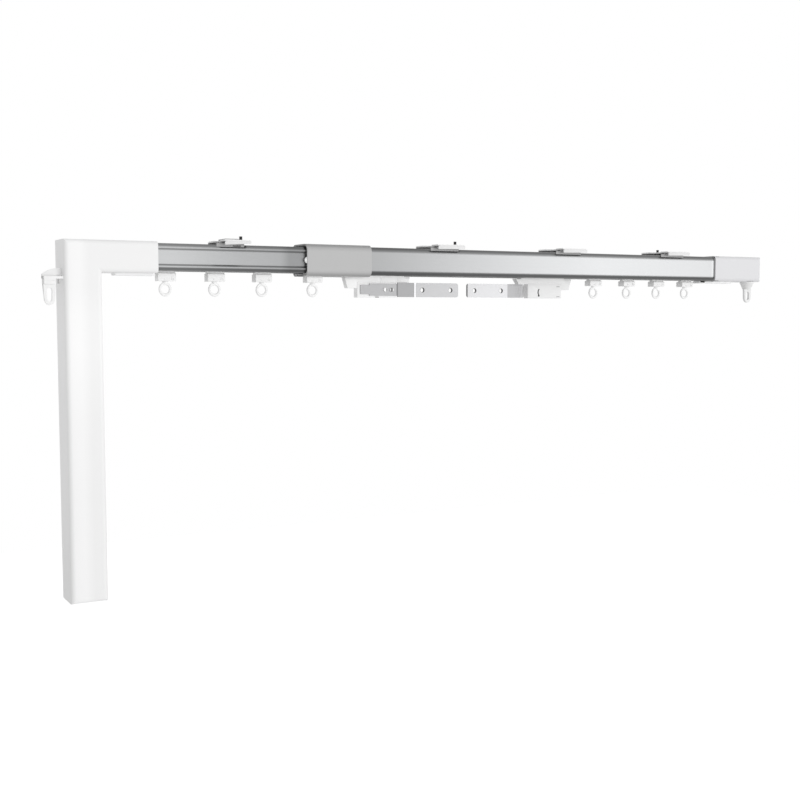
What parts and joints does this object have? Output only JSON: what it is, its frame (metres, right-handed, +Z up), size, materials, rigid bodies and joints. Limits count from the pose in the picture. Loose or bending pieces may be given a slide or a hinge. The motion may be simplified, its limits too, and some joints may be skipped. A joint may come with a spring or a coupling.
{
  "type": "telescopic ceiling curtain track",
  "caption": "Motorised telescoping curtain track with ceiling brackets, ring gliders, two belt-driven master carriers and a hanging motor column at one end.",
  "frame": {"origin": "centre of the packing shim's top over the first bracket, where the track meets the ceiling", "axes": "+X along the rails from the drive end to the end box, -Y towards the room, +Z up"},
  "size_m": [0.8308, 0.046, 0.3238],
  "materials": {
    "casing_white": "fine satin moulding, off-white",
    "inner_anodised": "satin anodised",
    "outer_anodised": "satin anodised",
    "sleeve_grey": "silver grey moulding",
    "gasket_black": "soft black rubber",
    "strip_white": "smooth white strip",
    "glider_white": "smooth white moulding",
    "carrier_white": "satin white moulding",
    "eye_white": "smooth white moulding",
    "latch_white": "smooth white moulding",
    "arm_steel": "zinc plated sheet",
    "screw_black": "black oxide",
    "bracket_steel": "dark coated steel",
    "shim_grey": "plain grey",
    "belt_black": "toothed belt",
    "pulley_black": "moulded",
    "shaft_steel": "turned",
    "motor_steel": "coated can",
    "board_green": "circuit board",
    "wheel_white": "acetal"
  },
  "bodies": {
    "drive_end": {"drive_casing": "casing_white", "rear_cover": "casing_white", "bottom_cap": "casing_white", "motor_can": "motor_steel", "gearbox": "motor_steel", "control_board": "board_green", "drive_box_strip": "strip_white", "left_end_eye": "eye_white", "inner_rail": "inner_anodised", "bracket_1_plate": "bracket_steel", "packing_shim": "shim_grey", "ceiling_screw_left": "screw_black", "belt_drive_side": "belt_black"},
    "extension": {"outer_rail": "outer_anodised", "joint_sleeve": "sleeve_grey", "sleeve_gasket": "gasket_black", "end_box": "casing_white", "end_box_strip": "strip_white", "idler_axle": "shaft_steel", "right_end_eye": "eye_white", "belt_idler_side": "belt_black", "bracket_2_plate": "bracket_steel", "bracket_3_plate": "bracket_steel", "bracket_4_plate": "bracket_steel", "ceiling_screws_right": "screw_black"},
    "drive_pulley": {"drive_pulley": "pulley_black", "output_shaft": "shaft_steel"},
    "idler_pulley": {"idler_pulley": "pulley_black"},
    "left_master": {"left_master_body": "carrier_white", "left_master_arm": "arm_steel", "left_master_screws": "screw_black", "left_master_belt_clamp": "pulley_black"},
    "left_front_wheels": {"left_master_front_wheels": "wheel_white"},
    "left_rear_wheels": {"left_master_rear_wheels": "wheel_white"},
    "right_master": {"right_master_body": "carrier_white", "right_master_arm": "arm_steel", "right_master_screws": "screw_black", "right_master_belt_clamp": "pulley_black"},
    "right_front_wheels": {"right_master_front_wheels": "wheel_white"},
    "right_rear_wheels": {"right_master_rear_wheels": "wheel_white"},
    "glider_1": {"glider_1_body": "glider_white"},
    "glider_1_eye": {"glider_1_eye": "glider_white"},
    "glider_2": {"glider_2_body": "glider_white"},
    "glider_2_eye": {"glider_2_eye": "glider_white"},
    "glider_3": {"glider_3_body": "glider_white"},
    "glider_3_eye": {"glider_3_eye": "glider_white"},
    "glider_4": {"glider_4_body": "glider_white"},
    "glider_4_eye": {"glider_4_eye": "glider_white"},
    "glider_5": {"glider_5_body": "glider_white"},
    "glider_5_eye": {"glider_5_eye": "glider_white"},
    "glider_6": {"glider_6_body": "glider_white"},
    "glider_6_eye": {"glider_6_eye": "glider_white"},
    "glider_7": {"glider_7_body": "glider_white"},
    "glider_7_eye": {"glider_7_eye": "glider_white"},
    "glider_8": {"glider_8_body": "glider_white"},
    "glider_8_eye": {"glider_8_eye": "glider_white"},
    "latch_1": {"bracket_1_latch": "latch_white"},
    "latch_2": {"bracket_2_latch": "latch_white"},
    "latch_3": {"bracket_3_latch": "latch_white"},
    "latch_4": {"bracket_4_latch": "latch_white"}
  },
  "joints": [
    {"name": "rail_extension", "type": "slide", "parent": "drive_end", "child": "extension", "axis": [1, 0, 0], "range_m": [-0.05, 0.11]},
    {"name": "left_master_travel", "type": "slide", "parent": "drive_end", "child": "left_master", "axis": [1, 0, 0], "range_m": [-0.085, 0.025]},
    {"name": "right_master_travel", "type": "slide", "parent": "extension", "child": "right_master", "axis": [1, 0, 0], "range_m": [-0.0252, 0.0852]},
    {"name": "left_front_wheels_roll", "type": "hinge", "parent": "left_master", "child": "left_front_wheels", "pos_m": [0.1322, 0, -0.02515], "axis": [0, 1, 0], "continuous": true},
    {"name": "left_rear_wheels_roll", "type": "hinge", "parent": "left_master", "child": "left_rear_wheels", "pos_m": [0.1742, 0, -0.02515], "axis": [0, 1, 0], "continuous": true},
    {"name": "right_front_wheels_roll", "type": "hinge", "parent": "right_master", "child": "right_front_wheels", "pos_m": [0.3734, 0, -0.02665], "axis": [0, 1, 0], "continuous": true},
    {"name": "right_rear_wheels_roll", "type": "hinge", "parent": "right_master", "child": "right_rear_wheels", "pos_m": [0.3314, 0, -0.02665], "axis": [0, 1, 0], "continuous": true},
    {"name": "drive_pulley_turn", "type": "hinge", "parent": "drive_end", "child": "drive_pulley", "pos_m": [-0.1385, 0, -0.015], "axis": [0, 0, 1], "continuous": true},
    {"name": "idler_pulley_turn", "type": "hinge", "parent": "extension", "child": "idler_pulley", "pos_m": [0.634, 0, -0.015], "axis": [0, 0, 1], "continuous": true},
    {"name": "glider_1_travel", "type": "slide", "parent": "drive_end", "child": "glider_1", "axis": [1, 0, 0], "range_m": [-0.00275, 0.00095]},
    {"name": "glider_1_swivel", "type": "hinge", "parent": "glider_1", "child": "glider_1_eye", "pos_m": [-0.0617, 0, -0.039], "axis": [0, 0, 1], "range_deg": [-90, 90]},
    {"name": "glider_2_travel", "type": "slide", "parent": "drive_end", "child": "glider_2", "axis": [1, 0, 0], "range_m": [-0.0217, 0.00653]},
    {"name": "glider_2_swivel", "type": "hinge", "parent": "glider_2", "child": "glider_2_eye", "pos_m": [-0.0151, 0, -0.039], "axis": [0, 0, 1], "range_deg": [-90, 90]},
    {"name": "glider_3_travel", "type": "slide", "parent": "drive_end", "child": "glider_3", "axis": [1, 0, 0], "range_m": [-0.04304, 0.0128]},
    {"name": "glider_3_swivel", "type": "hinge", "parent": "glider_3", "child": "glider_3_eye", "pos_m": [0.0314, 0, -0.039], "axis": [0, 0, 1], "range_deg": [-90, 90]},
    {"name": "glider_4_travel", "type": "slide", "parent": "drive_end", "child": "glider_4", "axis": [1, 0, 0], "range_m": [-0.06973, 0.02065]},
    {"name": "glider_4_swivel", "type": "hinge", "parent": "glider_4", "child": "glider_4_eye", "pos_m": [0.0836, 0, -0.039], "axis": [0, 0, 1], "range_deg": [-90, 90]},
    {"name": "glider_5_travel", "type": "slide", "parent": "extension", "child": "glider_5", "axis": [1, 0, 0], "range_m": [-0.0202, 0.0682]},
    {"name": "glider_5_swivel", "type": "hinge", "parent": "glider_5", "child": "glider_5_eye", "pos_m": [0.422, 0, -0.039], "axis": [0, 0, 1], "range_deg": [-90, 90]},
    {"name": "glider_6_travel", "type": "slide", "parent": "extension", "child": "glider_6", "axis": [1, 0, 0], "range_m": [-0.01287, 0.0433]},
    {"name": "glider_6_swivel", "type": "hinge", "parent": "glider_6", "child": "glider_6_eye", "pos_m": [0.4688, 0, -0.039], "axis": [0, 0, 1], "range_deg": [-90, 90]},
    {"name": "glider_7_travel", "type": "slide", "parent": "extension", "child": "glider_7", "axis": [1, 0, 0], "range_m": [-0.0066, 0.02196]},
    {"name": "glider_7_swivel", "type": "hinge", "parent": "glider_7", "child": "glider_7_eye", "pos_m": [0.5117, 0, -0.039], "axis": [0, 0, 1], "range_deg": [-90, 90]},
    {"name": "glider_8_travel", "type": "slide", "parent": "extension", "child": "glider_8", "axis": [1, 0, 0], "range_m": [-0.00045, 0.00105]},
    {"name": "glider_8_swivel", "type": "hinge", "parent": "glider_8", "child": "glider_8_eye", "pos_m": [0.5542, 0, -0.039], "axis": [0, 0, 1], "range_deg": [-90, 90]},
    {"name": "latch_1_slide", "type": "slide", "parent": "drive_end", "child": "latch_1", "axis": [0, -1, 0], "range_m": [0, 0.004], "stiffness_N_per_m": 200, "springref_m": -0.002},
    {"name": "latch_2_slide", "type": "slide", "parent": "extension", "child": "latch_2", "axis": [0, -1, 0], "range_m": [0, 0.004], "stiffness_N_per_m": 200, "springref_m": -0.002},
    {"name": "latch_3_slide", "type": "slide", "parent": "extension", "child": "latch_3", "axis": [0, -1, 0], "range_m": [0, 0.004], "stiffness_N_per_m": 200, "springref_m": -0.002},
    {"name": "latch_4_slide", "type": "slide", "parent": "extension", "child": "latch_4", "axis": [0, -1, 0], "range_m": [0, 0.004], "stiffness_N_per_m": 200, "springref_m": -0.002}
  ],
  "couplings": [
    {"joint": "right_master_travel", "follows": "left_master_travel", "ratio": -1},
    {"joint": "left_front_wheels_roll", "follows": "left_master_travel", "rad_per_m": 263.16},
    {"joint": "left_rear_wheels_roll", "follows": "left_master_travel", "rad_per_m": 263.16},
    {"joint": "right_front_wheels_roll", "follows": "left_master_travel", "rad_per_m": -263.16},
    {"joint": "right_rear_wheels_roll", "follows": "left_master_travel", "rad_per_m": -263.16},
    {"joint": "drive_pulley_turn", "follows": "left_master_travel", "rad_per_m": 137.93},
    {"joint": "idler_pulley_turn", "follows": "left_master_travel", "rad_per_m": 115.61},
    {"joint": "glider_1_travel", "follows": "left_master_travel", "ratio": 0.03},
    {"joint": "glider_2_travel", "follows": "left_master_travel", "ratio": 0.253},
    {"joint": "glider_3_travel", "follows": "left_master_travel", "ratio": 0.504},
    {"joint": "glider_4_travel", "follows": "left_master_travel", "ratio": 0.818},
    {"joint": "glider_5_travel", "follows": "left_master_travel", "ratio": -0.8},
    {"joint": "glider_6_travel", "follows": "left_master_travel", "ratio": -0.507},
    {"joint": "glider_7_travel", "follows": "left_master_travel", "ratio": -0.256},
    {"joint": "glider_8_travel", "follows": "left_master_travel", "ratio": -0.01}
  ]
}
